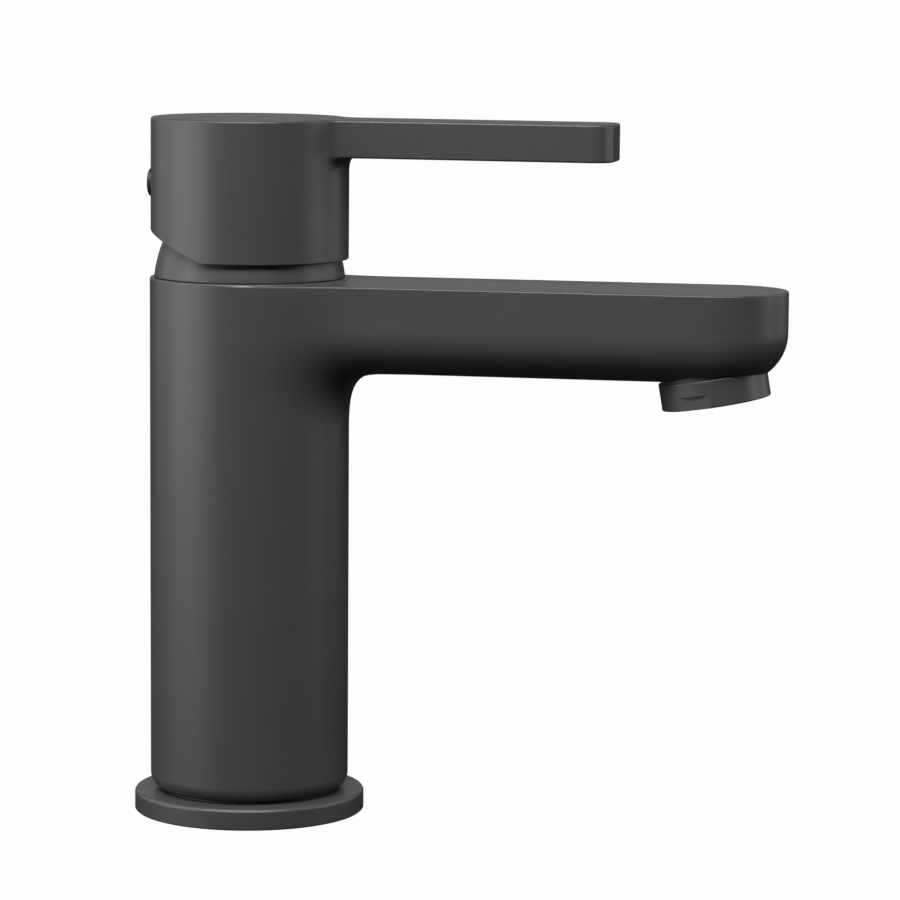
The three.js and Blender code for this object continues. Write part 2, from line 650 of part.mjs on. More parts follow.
function leverHandle() {
  const edge = arc(CAP_RADIUS - CAP_FILLET, capTop - CAP_FILLET, CAP_FILLET, 0, Math.PI / 2, 2);
  const cap = turned([[0, capBottom], [CAP_RADIUS, capBottom], ...edge, [0, capTop]], 48);
  const bar = stacked(
    roundedLevels(leverOutline, leverBottom, capTop, LEVER_FILLET, LEVER_FILLET, 2, 2),
  );
  const cut = new THREE.BoxGeometry(60, 80, 40).translate(-30, 0, -20).rotateY(radians(MAX_LIFT));
  const heelCut = solid(cut.translate(HEEL_CUT_X, 0, capBottom));
  const mouth = CAP_RADIUS - CAP_WALL;
  const mouthAngle = Math.acos(mouth / CAP_ROOF_RADIUS);
  const roof = arc(0, pivotZ, CAP_ROOF_RADIUS, mouthAngle, Math.PI / 2, 5);
  const flare = mouth + CAP_MOUTH_FLARE;
  const profile = [[0, capBottom - PAST], [flare, capBottom - PAST], [flare, capBottom]];
  const hollow = turned([...profile, [mouth, capBottom + CAP_MOUTH_RISE], ...roof], 48);
  const boss = rod(BOSS_RADIUS, bossBottom, hollowTop + PAST, 24);
  const rib = rodAlongX(GRUB_RADIUS + GRUB_RIB, -CAP_RADIUS + PAST, 0, 0, plugZ);
  const socketX = STEM_X / 2 + GAP;
  const socketY = STEM_Y / 2 + GAP;
  const socketTop = pivotZ + STEM_RISE + GAP;
  const counterbore = PLUG_RADIUS + GAP;
  return carve(
    fuse(cap, bar),
    heelCut,
    carve(hollow, boss, rib),
    block(-socketX, socketX, -socketY, socketY, bossBottom - PAST, socketTop),
    rodAlongX(GRUB_RADIUS + GAP, -CAP_RADIUS, 0, 0, plugZ),
    rodAlongX(counterbore, -CAP_RADIUS - PAST, -CAP_RADIUS + PLUG_DEPTH + GAP, 0, plugZ),
  );
}

function grubScrew() {
  const tip = -STEM_X / 2 - GAP;
  const end = tip - GRUB_LENGTH;
  const hexSocket = rodAlongX(HEX_RADIUS, end - PAST, end + HEX_DEPTH, 0, plugZ, 6);
  return carve(rodAlongX(GRUB_RADIUS, end, tip, 0, plugZ), hexSocket);
}

function indexPlug() {
  const back = -CAP_RADIUS + PLUG_DEPTH;
  const height = PLUG_DEPTH + PLUG_PROUD;
  const profile = [[0, 0], [PLUG_RADIUS, 0], [PLUG_RADIUS, height - PLUG_CHAMFER]];
  profile.push([PLUG_RADIUS - PLUG_CHAMFER, height], [0, height]);
  return turned(profile, 32).rotate([0, -90, 0]).translate([back, 0, plugZ]);
}

// ---- aerator, upright on its own axis, with zero at the spout's underside -------------------------------
const insertTop = AERATOR_COLLAR_TOP + AERATOR_SHANK - 3;
const insertBottom = -AERATOR_DROP + AERATOR_LIP + GAP;
const insertRadius = AERATOR_BORE - GAP;

function aeratorHousing() {
  const flats = [0, 180].map((turn) => {
    const depth = AERATOR_RADIUS - AERATOR_FLAT_DEPTH;
    const half = AERATOR_FLAT_WIDTH / 2;
    const bottom = -AERATOR_DROP - PAST;
    const cutter = block(depth, depth + 5, -half, half, bottom, -AERATOR_DROP + AERATOR_FLAT_HEIGHT);
    return cutter.rotate([0, 0, AERATOR_FLAT_ANGLE + turn]);
  });
  return carve(
    fuse(
      rod(AERATOR_RADIUS, -AERATOR_DROP, AERATOR_COLLAR_TOP, 64),
      rod(AERATOR_SHANK_RADIUS, AERATOR_COLLAR_TOP - 0.1, shankTop, 32),
    ),
    rod(AERATOR_BORE, -AERATOR_DROP + AERATOR_LIP, shankTop + PAST, 32),
    rod(AERATOR_BORE - 1, -AERATOR_DROP - PAST, 0, 32),
    ...flats,
  );
}

// Rings of small holes, each ring a radius and a count; the radii suit an insert of JET_FIELD.
const JET_FIELD = 9.9;
function jetHoles(rings, bottom, top) {
  return rings.flatMap(([radius, count]) =>
    Array.from({ length: count }, (_, i) => {
      const angle = (2 * Math.PI * i) / count;
      const at = (radius * insertRadius) / JET_FIELD;
      return rod(JET_RADIUS, bottom, top, 6, at * Math.cos(angle), at * Math.sin(angle));
    }),
  );
}

function aeratorInsert() {
  const cup = carve(
    rod(insertRadius, insertBottom, insertTop, 40),
    rod(insertRadius - INSERT_WALL, insertBottom + INSERT_FLOOR, insertTop + PAST, 40),
  );
  const bottom = insertBottom - PAST;
  return carve(cup, ...jetHoles([[0, 1], [3.2, 5], [6.6, 8]], bottom, insertBottom + INSERT_FLOOR + PAST));
}

function aeratorScreen() {
  const bottom = insertTop + GAP;
  const top = bottom + SCREEN_THICKNESS;
  return carve(
    rod(insertRadius, bottom, top, 40),
    ...jetHoles([[2.6, 4], [6, 7]], bottom - PAST, top + PAST),
  );
}

const aeratorWasher = () =>
  ring(
    AERATOR_BORE - WASHER_LEDGE + GAP,
    AERATOR_SHANK_RADIUS,
    shankTop + GAP,
    shankTop + GAP + AERATOR_WASHER,
    40,
  );

// ---- assembly ----------------------------------------------------------------------------------------------
const gasket = () => ring(gasketOuter - GASKET_WIDTH, gasketOuter, 0, GASKET_HEIGHT, 32);
const rotorWasher = () => {
  const inner = ROTOR_RADIUS + GAP;
  return ring(inner, housingInner - GAP, washerBottom, washerBottom + ROTOR_WASHER, 32);
};

const fixedGroup = new THREE.Group();
fixedGroup.add(
  piece("faucet_body", faucetBody(), mattBlack),
  piece("base_ring", baseRing(), mattBlack),
  piece("base_gasket", gasket(), rubber),
  piece("inlet_seal_cold", portSeal(ports[0]), rubber),
  piece("inlet_seal_hot", portSeal(ports[1]), rubber),
  piece("cartridge_base", cartridgeBase(), acetal),
  piece("disc_gasket", holedDisc(DISC_RADIUS, gasketBottom, gasketBottom + DISC_GASKET), rubber),
  piece("fixed_ceramic_disc", holedDisc(DISC_RADIUS, fixedBottom, fixedBottom + DISC_THICKNESS), ceramic),
  piece("cartridge_housing", cartridgeHousing(), greyPlastic),
  piece("housing_o_ring", housingORing(), rubber),
  piece("rotor_washer", rotorWasher(), acetal),
  piece("hot_limit_ring", hotLimitRing(), redPlastic),
  piece("cartridge_nut", cartridgeNut(), brass),
  piece("dome_cover", domeCover(), mattBlack),
  piece("dome_o_ring", domeORing(), rubber),
);

const aeratorGroup = new THREE.Group();
aeratorGroup.position.set(...aeratorPlace.position);
aeratorGroup.rotation.y = radians(aeratorPlace.tilt);
aeratorGroup.add(
  piece("aerator_housing", aeratorHousing(), mattBlack),
  piece("aerator_insert", aeratorInsert(), greyPlastic),
  piece("aerator_screen", aeratorScreen(), steel),
  piece("aerator_washer", aeratorWasher(), rubber),
);

const sliderGroup = new THREE.Group();
sliderGroup.add(
  piece("moving_ceramic_disc", movingDisc(), ceramic),
  piece("disc_carrier", discCarrier(), acetal),
);

const rotorGroup = new THREE.Group();
rotorGroup.add(
  piece("stem_rotor", stemRotor(), acetal),
  piece("pivot_pin", rodAlongY(PIN_RADIUS, PIN_LENGTH, pivotZ), steel),
);

// The lever's pieces are drawn round the origin's axes and droop together about the pivot pin.
const leverGroup = new THREE.Group();
const leverTilt = new THREE.Group();
leverGroup.position.z = pivotZ;
leverGroup.rotation.y = radians(HANDLE_DROOP);
leverTilt.position.z = -pivotZ;
leverTilt.add(
  piece("cartridge_stem", cartridgeStem(), steel),
  piece("lever_handle", leverHandle(), mattBlack),
  piece("grub_screw", grubScrew(), steel),
  piece("index_plug", indexPlug(), mattBlack),
);
leverGroup.add(leverTilt);

const faucet = new THREE.Group();
faucet.add(fixedGroup, aeratorGroup, sliderGroup, rotorGroup, leverGroup);

export default faucet;
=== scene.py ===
"""A matt black single-lever basin mixer: the column with its spout, the base ring, the dome, the
lever handle and the tilted aerator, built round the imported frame, with every part's finish."""

import math

import bpy
import numpy as np
from mathutils import Matrix, Quaternion, Vector


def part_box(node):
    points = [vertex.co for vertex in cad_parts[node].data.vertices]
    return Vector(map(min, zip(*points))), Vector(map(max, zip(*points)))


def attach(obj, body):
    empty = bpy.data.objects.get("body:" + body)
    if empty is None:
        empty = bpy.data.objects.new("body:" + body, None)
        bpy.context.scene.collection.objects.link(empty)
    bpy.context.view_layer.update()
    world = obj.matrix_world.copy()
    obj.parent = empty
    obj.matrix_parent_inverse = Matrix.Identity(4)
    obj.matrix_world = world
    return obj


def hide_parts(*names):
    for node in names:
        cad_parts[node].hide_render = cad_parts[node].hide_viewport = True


bl_info = {
    "name": "Basin Mixer Faucet",
    "version": (1, 0, 0),
    "blender": (4, 5, 0),
    "location": "View3D > Sidebar > Faucet",
    "description": "Builds the visible pieces, finishes and studio of a single-lever basin mixer",
    "category": "Add Mesh",
}

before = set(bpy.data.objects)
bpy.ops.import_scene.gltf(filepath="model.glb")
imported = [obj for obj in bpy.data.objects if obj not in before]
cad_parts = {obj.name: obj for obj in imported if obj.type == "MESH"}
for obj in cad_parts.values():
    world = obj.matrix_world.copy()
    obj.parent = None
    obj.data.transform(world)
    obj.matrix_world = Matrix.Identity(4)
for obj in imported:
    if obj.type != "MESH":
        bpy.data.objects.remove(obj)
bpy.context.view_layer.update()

MM = 0.001
body_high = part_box("faucet_body")[1]
ring_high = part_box("base_ring")[1]
gasket_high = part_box("base_gasket")[1]
dome_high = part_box("dome_cover")[1]
plug_low, plug_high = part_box("index_plug")
pin_low, pin_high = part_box("pivot_pin")
stem_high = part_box("cartridge_stem")[1]
seat_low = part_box("cartridge_base")[0]
nut_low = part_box("cartridge_nut")[0]
pivot = Vector((0, 0, (pin_low.z + pin_high.z) / 2))
screw_z = (plug_low.z + plug_high.z) / 2  # height of the set screw and its plug

GAP = 0.3 * MM  # running clearance that the frame keeps between neighbours
PAST = 1 * MM  # how far a cutting shape runs past the face it opens

# Column and spout
ROOT_SHARE = 0.6  # the spout starts at this share of the radius, so the column's back stays round
FOOT_CHAMFER = 0.5 * MM
NUT_LEDGE = 0.8 * MM  # room under the cartridge nut
COLUMN_RINGS = (30 * MM, 55 * MM, 75 * MM)  # heights of the rings on the plain column
INLET_RADIUS = 4.5 * MM
INLET_OFFSET = 9.5 * MM
INLET_DEPTH = 14 * MM
STUD_RADIUS = 3.4 * MM
STUD_OFFSET = 13 * MM
STUD_DEPTH = 11 * MM
BODY_REACH = 60 * MM  # longer than any ray from inside the body to its skin

# Base ring and gasket
RING_FOOT = 0.3 * MM  # chamfer at the ring's foot
GROOVE_WIDTH = 3 * MM  # the groove that holds the gasket
GASKET_WIDTH = 2.4 * MM
GASKET_ROUND = 0.5 * MM

# Dome
DOME_SHOULDER = 2.5 * MM  # the flat round the dome's hole
DOME_EDGE = 0.25 * MM

# Handle
CAP_CHAMFER = 0.15 * MM
CAP_RINGS = (6 * MM, 12 * MM, 18 * MM)  # heights of the rings on the plain cap
HANDLE_REACH = 40 * MM  # longer than any ray from inside the handle to its skin
SLOPE_BLOCK = 40 * MM  # half of the block that cuts the slope under the heel
BOSS_RADIUS = 7.5 * MM  # the boss takes the cartridge's stem, the rib its set screw
BOSS_HEIGHT = 9.2 * MM
RIB_RADIUS = 4.5 * MM
SOCKET_HALF_X = 4.3 * MM
SOCKET_HALF_Y = 3.7 * MM
SOCKET_DEPTH = 20 * MM
SCREW_HOLE = 2.8 * MM
PLUG_HOLE = 3.65 * MM
PLUG_SEAT = 2.7 * MM  # depth of the plug's seat in the cap's wall

# Index plug
PLUG_RADIUS = 3.35 * MM
PLUG_ROUND = 0.5 * MM
PLUG_RIM = 1.1 * MM  # the rim round the dish in the plug's face
PLUG_BEVEL = 0.4 * MM
PLUG_DISH = 0.25 * MM
PLUG_MIDDLE = 0.3 * MM  # depth of the dish at its middle

# Aerator
SOCKET_ROOM = 2.6 * MM  # room above the shank for the washer
COLLAR_ROUND = 0.35 * MM
FLAT_BLOCK = 5 * MM  # depth of the block that cuts a key flat
INSERT_WALL = 1.2 * MM
INSERT_FLOOR = 2 * MM
INSERT_DROP = 3 * MM  # how far the insert stays below the shank's top
JET_RINGS = ((0, 1), (2.1 * MM, 6), (4.2 * MM, 12), (6.3 * MM, 18))  # radius and count of holes

SMOOTH_BELOW = math.radians(32)  # softer edges than this are shaded smooth
SAME_POINT = 1e-6  # vertices closer than this are merged while a piece is shaped
SLIVER = 3e-6  # edges shorter than this are closed up when it is complete


def length(name, description, default):
    """A size in metres, shown in the scene's units."""
    return bpy.props.FloatProperty(
        name=name, description=description, default=default, min=0, unit="LENGTH", precision=5
    )


def turn(name, description, default):
    """An angle, kept in radians and shown in degrees."""
    return bpy.props.FloatProperty(
        name=name, description=description, default=math.radians(default), subtype="ANGLE"
    )


def colour(name, description, default):
    """A colour in linear red, green and blue."""
    return bpy.props.FloatVectorProperty(
        name=name, description=description, default=default, min=0, max=1, subtype="COLOR"
    )


class FaucetBodySizes(bpy.types.PropertyGroup):
    """Sizes of the column, the spout and the base ring."""

    radius: length("Column radius", "Radius of the round column", body_high.y)
    top: length("Column top", "Height of the column's rim", body_high.z)
    rim_fillet: length("Rim fillet", "Rounding of the column's top edge", 0.35 * MM)
    foot_fillet: length("Foot fillet", "Rounding of the column's foot", 3.5 * MM)
    spigot: length("Spigot radius", "Radius of the spigot inside the base ring", 19.8 * MM)
    spout_reach: length("Spout reach", "From the column's axis to the spout's tip", body_high.x)
    spout_half: length("Spout half width", "Half of the spout's width", 16 * MM)
    spout_drop: length("Spout drop", "From the rim down to the spout's flat top", 0.5 * MM)
    spout_height: length("Spout height", "Height of the spout's section", 20.45 * MM)
    top_fillet: length("Spout top fillet", "Rounding of the spout's top edge", 0.35 * MM)
    bottom_fillet: length("Spout bottom fillet", "Rounding of the spout's lower edge", 10 * MM)
    tip_fillet: length("Tip fillet", "Rounding of the lower edge at the spout's tip", 11 * MM)
    root_blend: length("Root blend", "Softness of the corner of spout and column", 15 * MM)
    bore: length("Cartridge bore", "Radius of the bore that takes the cartridge", 17.8 * MM)
    nut_bore: length("Nut bore", "Radius of the bore round the cartridge nut", 19.9 * MM)
    ring_radius: length("Base ring radius", "Outer radius of the base ring", ring_high.x)
    ring_height: length("Base ring height", "Height of the base ring", ring_high.z)
    ring_fillet: length("Base ring fillet", "Rounding of the base ring's top edge", 0.9 * MM)


class FaucetHandleSizes(bpy.types.PropertyGroup):
    """Sizes of the lever handle and the dome under it."""

    cap_radius: length("Cap radius", "Radius of the handle's round cap", 22.8 * MM)
    cap_lift: length("Cap lift", "Gap between the column's rim and the cap", 4.4 * MM)
    cap_height: length("Cap height", "Height of the cap", 32.3 * MM)
    wall: length("Cap wall", "Wall at the mouth of the cap", 1.5 * MM)
    flare: length("Mouth flare", "How much wider the hollow is at its mouth", 0.6 * MM)
    flare_rise: length("Flare rise", "Height over which the mouth narrows", 5 * MM)
    roof: length("Roof radius", "Radius of the hollow's roof round the pivot", 22.5 * MM)
    heel: length("Heel", "How far behind the axis the heel's slope starts", 5.5 * MM)
    heel_slope: turn("Heel slope", "Slope that makes room for the lift", 22)
    reach: length("Lever reach", "From the axis to the lever's tip", 85.2 * MM)
    half: length("Lever half width", "Half of the lever's width", 8.5 * MM)
    thickness: length("Lever thickness", "Thickness of the lever", 8.55 * MM)
    corner: length("Lever corner", "Plan radius of the lever's corners", 4.5 * MM)
    fillet: length("Edge fillet", "Rounding of the lever's edges", 0.5 * MM)
    root_blend: length("Root blend", "Softness of the corner of lever and cap", 4.2 * MM)
    droop: turn("Droop", "Play of the handle, nose down", 0.15)
    dome_radius: length("Dome radius", "Radius of the dome at the rim", 22 * MM)
    dome_bulge: length("Dome bulge", "Radius of the dome's profile", 29 * MM)
    dome_bulge_drop: length("Bulge drop", "Centre of that profile below the rim", 2.8 * MM)
    dome_wall: length("Dome wall", "Wall of the dome", 1.3 * MM)
    dome_visible: length("Dome side", "Height of the dome's curved side", 8.2 * MM)
    dome_hole: length("Dome hole", "Radius of the hole in the dome", 11.5 * MM)
    seam: length("Seam", "Gap that shows between the dome and the column", 0.1 * MM)


class FaucetAeratorSizes(bpy.types.PropertyGroup):
    """Sizes of the aerator, drawn upright and then tilted under the spout."""

    tilt: turn("Tilt", "Tilt of the aerator, so that the stream leaves forwards", 9.6)
    radius: length("Collar radius", "Outer radius of the collar", 12.4 * MM)
    drop: length("Collar drop", "How far the collar hangs below the spout", 5.1 * MM)
    collar_top: length("Collar top", "How far the collar sinks into its socket", 1.2 * MM)
    shank_radius: length("Shank radius", "Radius of the threaded shank", 11.6 * MM)
    shank: length("Shank", "Length of the threaded shank", 7 * MM)
    bore: length("Bore", "Radius of the bore for the insert", 10.2 * MM)
    lip: length("Lip", "Thickness of the lip that holds the insert", 1 * MM)
    flat_width: length("Flat width", "Width of the flats for the key", 7.2 * MM)
    flat_height: length("Flat height", "Height of the flats for the key", 3.1 * MM)
    flat_depth: length("Flat depth", "Depth of the flats for the key", 0.55 * MM)
    flat_turn: turn("Flat turn", "Where the flats stand round the aerator", -105)
    jet: length("Jet radius", "Radius of each hole in the insert", 0.55 * MM)


class FaucetFinishes(bpy.types.PropertyGroup):
    """Colours and surfaces of the faucet's finishes."""

    coat: colour("Coat", "Colour of the matt black coating", (0.045, 0.0445, 0.0445))
    coat_roughness: bpy.props.FloatProperty(
        name="Coat roughness", description="Roughness of the coating", default=0.39, min=0, max=1
    )
    # The plug's colour is darker than the coat's: painted shade for the shade the plug sits in,
    # over its own black.
    plug: colour("Plug", "Colour of the black index plug", (0.010, 0.010, 0.010))
    rubber: colour("Rubber", "Colour of the seals", (0.012, 0.012, 0.012))
    white: colour("White plastic", "Colour of the cartridge's plastic", (0.82, 0.81, 0.77))
    grey: colour("Grey plastic", "Colour of the aerator's plastic", (0.26, 0.28, 0.30))
    red: colour("Red plastic", "Colour of the hot limit ring", (0.42, 0.02, 0.016))
    ceramic: colour("Ceramic", "Colour of the discs", (0.79, 0.76, 0.70))
    brass: colour("Brass", "Colour of the turned brass", (0.62, 0.41, 0.13))
    steel: colour("Steel", "Colour of the steel parts", (0.50, 0.50, 0.51))


class FaucetStudio(bpy.types.PropertyGroup):
    """Where the camera stands, where it looks, and its lens."""

    distance: length("Camera distance", "From the look-at height to the camera", 936.9 * MM)
    azimuth: turn("Azimuth", "How far the camera stands round from the front", 14.532)
    elevation: turn("Elevation", "How far the camera stands above the horizon", 7.47)
    roll: turn("Roll", "Lean of the camera", 0.397)
    side_step: length("Side step", "Look-at point to the right of the axis", 46.47 * MM)
    look_height: length("Look-at height", "Height of the look-at point", 84.16 * MM)
    stand_height: length("Stand height", "Height that the camera circles round", 80 * MM)
    lens: bpy.props.FloatProperty(
        name="Lens", description="Focal length in millimetres", default=161.46, min=1
    )


# ---- shaping ------------------------------------------------------------------------------------


def deselect_all():
    bpy.ops.object.select_all(action="DESELECT")


def only(piece):
    """Selects one piece alone and makes it the active one."""
    deselect_all()
    piece.select_set(True)
    bpy.context.view_layer.objects.active = piece


def added(name):
    """The primitive that was just added, with its place and size put into its mesh."""
    piece = bpy.context.object
    piece.name = name
    only(piece)
    bpy.ops.object.transform_apply(location=True, rotation=True, scale=True)
    return piece


def edit(piece):
    """Opens a piece in edit mode with all of it selected."""
    only(piece)
    bpy.ops.object.mode_set(mode="EDIT")
    bpy.ops.mesh.select_all(action="SELECT")


def close_edit():
    bpy.ops.object.mode_set(mode="OBJECT")


def place_vertices(piece, points):
    piece.data.vertices.foreach_set("co", np.asarray(points, np.float32).ravel())
    piece.data.update()


def arc(x, y, radius, start, end, steps):
    """Points along an arc; angles in degrees."""
    angles = [math.radians(start + (end - start) * i / steps) for i in range(steps + 1)]
    return [(x + radius * math.cos(a), y + radius * math.sin(a)) for a in angles]


def heal(piece):
    """Merges doubled vertices and turns the faces outwards."""
    edit(piece)
    bpy.ops.mesh.remove_doubles(threshold=SAME_POINT)
    bpy.ops.mesh.normals_make_consistent(inside=False)
    close_edit()
    return piece


def clear_slivers(piece):
    """Removes the faces without area that cutting leaves behind."""
    edit(piece)
    bpy.ops.mesh.remove_doubles(threshold=SLIVER)
    bpy.ops.mesh.dissolve_degenerate(threshold=SLIVER)
    close_edit()


def turned(name, profile, steps=128):
    """A solid of revolution about Z from a closed outline of (radius, height) points."""
    deselect_all()
    bpy.ops.mesh.primitive_circle_add(vertices=len(profile), radius=1)
    piece = added(name)
    place_vertices(piece, [(r, 0, z) for r, z in profile])
    edit(piece)
    bpy.ops.mesh.spin(steps=steps, angle=2 * math.pi, center=(0, 0, 0), axis=(0, 0, 1))
    close_edit()
    return heal(piece)


def wrapped(name, rings):
    """A closed skin over rings that all have the same number of points; a ring may be a pole."""
    count = len(rings[0])
    deselect_all()
    bpy.ops.mesh.primitive_grid_add(x_subdivisions=count, y_subdivisions=len(rings) - 1, size=1)
    piece = added(name)
    closed = [np.vstack([ring, ring[:1]]) for ring in rings]
    place_vertices(piece, np.vstack(closed))
    return heal(piece)


def rod(radius, bottom, top, x=0, y=0, vertices=64):
    """An upright cylinder for cutting."""
    deselect_all()
    bpy.ops.mesh.primitive_cylinder_add(
        vertices=vertices, radius=radius, depth=top - bottom, location=(x, y, (bottom + top) / 2)
    )
    return added("rod")


def rod_along_x(radius, start, end, z, vertices=48):
    """A lying cylinder for cutting."""
    deselect_all()
    bpy.ops.mesh.primitive_cylinder_add(
        vertices=vertices,
        radius=radius,
        depth=end - start,
        location=((start + end) / 2, 0, z),
        rotation=(0, math.pi / 2, 0),
    )
    return added("rod")


def block(low, high):
    """A box between two corners."""
    deselect_all()
    low, high = Vector(low), Vector(high)
    bpy.ops.mesh.primitive_cube_add(size=1, location=(low + high) / 2, scale=high - low)
    return added("block")


def apply_modifier(piece, modifier):
    only(piece)
    bpy.ops.object.modifier_apply(modifier=modifier.name)


def carve(piece, *cutters):
    """Cuts each cutter out of a piece, and removes the cutter."""
    for cutter in cutters:
        modifier = piece.modifiers.new("Cut", "BOOLEAN")
        modifier.operation = "DIFFERENCE"
        modifier.object = cutter
        modifier.solver = "EXACT"
        modifier.material_mode = "TRANSFER"
        apply_modifier(piece, modifier)
        bpy.data.objects.remove(cutter)
    return piece


def bevel(piece, width, segments, angle):
    """Rounds every edge that is sharper than the angle."""
    modifier = piece.modifiers.new("Edge", "BEVEL")
    modifier.width = width
    modifier.segments = segments
    modifier.limit_method = "ANGLE"
    modifier.angle_limit = math.radians(angle)
    modifier.harden_normals = False
    apply_modifier(piece, modifier)
    return piece


def turn_about(piece, angle, axis, centre):
    """Turns a piece's mesh about an axis through a point."""
    there = Matrix.Translation(Vector(centre))
    piece.data.transform(there @ Matrix.Rotation(angle, 4, axis) @ there.inverted())
    return piece


def complete(piece, name, body, material, nodes):
    """Names and shades a finished piece, gives it its finish and ties it to the frame."""
    piece.name = name
    piece.data.name = name
    clear_slivers(piece)
    only(piece)
    bpy.ops.object.shade_smooth_by_angle(angle=SMOOTH_BELOW)
    weights = piece.modifiers.new("Shading", "WEIGHTED_NORMAL")
    weights.keep_sharp = True
    apply_modifier(piece, weights)
    if material.name not in piece.data.materials:
        piece.data.materials.clear()
        piece.data.materials.append(material)
    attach(piece, body)
    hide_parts(*nodes)
    return piece


# ---- outlines that run smoothly from a round body into an arm -----------------------------------


def smooth_union(a, b, softness):
    """The lesser of two distances, with the corner between them rounded."""
    near = np.maximum(softness - np.abs(a - b), 0) / softness
    return np.minimum(a, b) - near**3 * softness / 6


def surface_points(field, origins, directions, reach):
    """Where rays that start inside leave the shape whose field is below zero inside."""
    near = np.zeros(len(origins))
    far = np.full(len(origins), reach)
    for _ in range(40):
        middle = (near + far) / 2
        inside = field(origins + directions * middle[:, None]) < 0
        near = np.where(inside, middle, near)
        far = np.where(inside, far, middle)
    return origins + directions * far[:, None]


BACK_ANGLE = 62  # degrees from the arm's direction to where the rays start to square up
ROOT_LENGTH = 44 * MM  # by here the rays stand square to the arm


def arm_rays(half, end, corner):
    """Rays for half an outline: polar round the back, fanned out along the arm's root, square
    along its side and polar again round its corner. Each row is origin x, y and an angle."""
    rays = [(0, 0, angle) for angle in np.linspace(180, BACK_ANGLE, 42)]
    start = half / math.tan(math.radians(BACK_ANGLE))
    for x in np.arange(start + MM, ROOT_LENGTH, MM):
        share = (x - start) / (ROOT_LENGTH - start)
        angle = BACK_ANGLE + (90 - BACK_ANGLE) * share * share * (3 - 2 * share)
        rays.append((x - half / math.tan(math.radians(angle)), 0, angle))
    rays += [(x, 0, 90) for x in np.linspace(ROOT_LENGTH, end - corner, 14)]
    rays += [(end - corner, half - corner, angle) for angle in np.linspace(90, 0, 19)[1:]]
    if half > corner:
        rays += [(end - corner, y, 0) for y in np.linspace(half - corner, 0, 4)[1:]]
    return np.array(rays)


def unit(degrees):
    return np.column_stack([np.cos(np.radians(degrees)), np.sin(np.radians(degrees))])


def whole_ring(half_ring, z):
    """A full ring from its half, which runs from the back round to the tip."""
    mirrored = half_ring[-2:0:-1] * [1, -1]
    ring = np.vstack([half_ring, mirrored])
    return np.column_stack([ring, np.full(len(ring), z)])


class ArmedOutline:
    """The rings of a round body with an arm: rings that follow the arm, and round ones."""

    def __init__(self, rays, first_ring, wall_angle):
        self.rays = rays
        angles = np.degrees(np.arctan2(first_ring[:, 1], first_ring[:, 0]))
        under = np.argmax(angles < wall_angle)  # from here the points lie under the arm
        angles[under:] = np.linspace(angles[under - 1], 0, len(angles) - under + 1)[1:]
        angles[0] = 180
        self.angles = angles

    def circle(self, radius, z):
        return whole_ring(unit(self.angles) * radius, z)

    def polar(self, field, z, reach):
        origins = np.zeros((len(self.angles), 2))
        return whole_ring(surface_points(field, origins, unit(self.angles), reach), z)

    def along_arm(self, field, z, reach):
        return whole_ring(arm_ring(self.rays, field, reach), z)


def arm_ring(rays, field, reach):
    return surface_points(field, rays[:, :2], unit(rays[:, 2]), reach)


# ---- column and spout ---------------------------------------------------------------------------


def spout_bottom(size):
    return size.top - size.spout_drop - size.spout_height


def body_field(size, z, inset=0):
    """The distance from the column and the spout at one height; the spout may be drawn in."""
    bottom = spout_bottom(size)
    root = size.radius * ROOT_SHARE
    centre = size.spout_reach - size.spout_half

    def field(points):
        x, y = points[:, 0], points[:, 1]
        column = np.hypot(x, y) - size.radius
        side = np.hypot(x - np.clip(x, root, centre), y) - size.spout_half + inset
        towards_tip = np.clip((x - centre) / size.spout_half, 0, 1)
        fillet = size.bottom_fillet + (size.tip_fillet - size.bottom_fillet) * towards_tip
        below = np.maximum(bottom + fillet - z, 0)
        rounded = np.hypot(np.maximum(side + fillet, 0), below) - fillet
        side = np.where(below > 0, rounded, side)
        return smooth_union(column, side, size.root_blend)

    return field


def body_rings(size):
    """Rings from under the column, over its side, heel and spout, and down into its bore."""
    bottom = spout_bottom(size)
    flat = size.top - size.spout_drop
    rays = arm_rays(size.spout_half, size.spout_reach, size.spout_half)
    lower = [
        bottom + size.bottom_fillet * (1 - math.cos(math.radians(angle)))
        for angle in (4, 8, 13, 19, 26, 34, 42, 50, 58, 66, 74, 82, 90, 98)
    ]
    first = arm_ring(rays, body_field(size, lower[0]), BODY_REACH)
    outline = ArmedOutline(rays, first, wall_angle=15)
    foot_z = size.ring_height + GAP
    foot = arc(
        size.radius - size.foot_fillet, foot_z + size.foot_fillet, size.foot_fillet, -84, 0, 8
    )
    rings = [outline.circle(0, 0)]
    rings.append(outline.circle(size.spigot - FOOT_CHAMFER, 0))
    rings.append(outline.circle(size.spigot, FOOT_CHAMFER))
    rings += [outline.circle(r, z) for r, z in foot]
    rings += [outline.circle(size.radius, z) for z in COLUMN_RINGS]
    heel = (0.98, 0.85, 0.72, 0.6, 0.49, 0.39, 0.3, 0.22, 0.15, 0.095, 0.055, 0.025, 0.008, 0.002)
    for share in heel:
        z = bottom - size.root_blend * share
        rings.append(outline.polar(body_field(size, z), z, BODY_REACH))
    rings += [outline.along_arm(body_field(size, z), z, BODY_REACH) for z in lower]
    for angle in (0, 18, 36, 54, 72, 90):
        z = flat - size.top_fillet * (1 - math.sin(math.radians(angle)))
        inset = size.top_fillet * (1 - math.cos(math.radians(angle)))
        rings.append(outline.along_arm(body_field(size, z, inset), z, BODY_REACH))
    rim = arc(size.radius - size.rim_fillet, size.top - size.rim_fillet, size.rim_fillet, 12, 90, 6)
    rings += [outline.circle(r, z) for r, z in rim]
    shoulder = nut_low.z - NUT_LEDGE
    seat = seat_low.z - GAP
    rings += [outline.circle(size.nut_bore, z) for z in (size.top, shoulder)]
    rings += [outline.circle(size.bore, z) for z in (shoulder, seat)]
    rings.append(outline.circle(0, seat))
    return rings


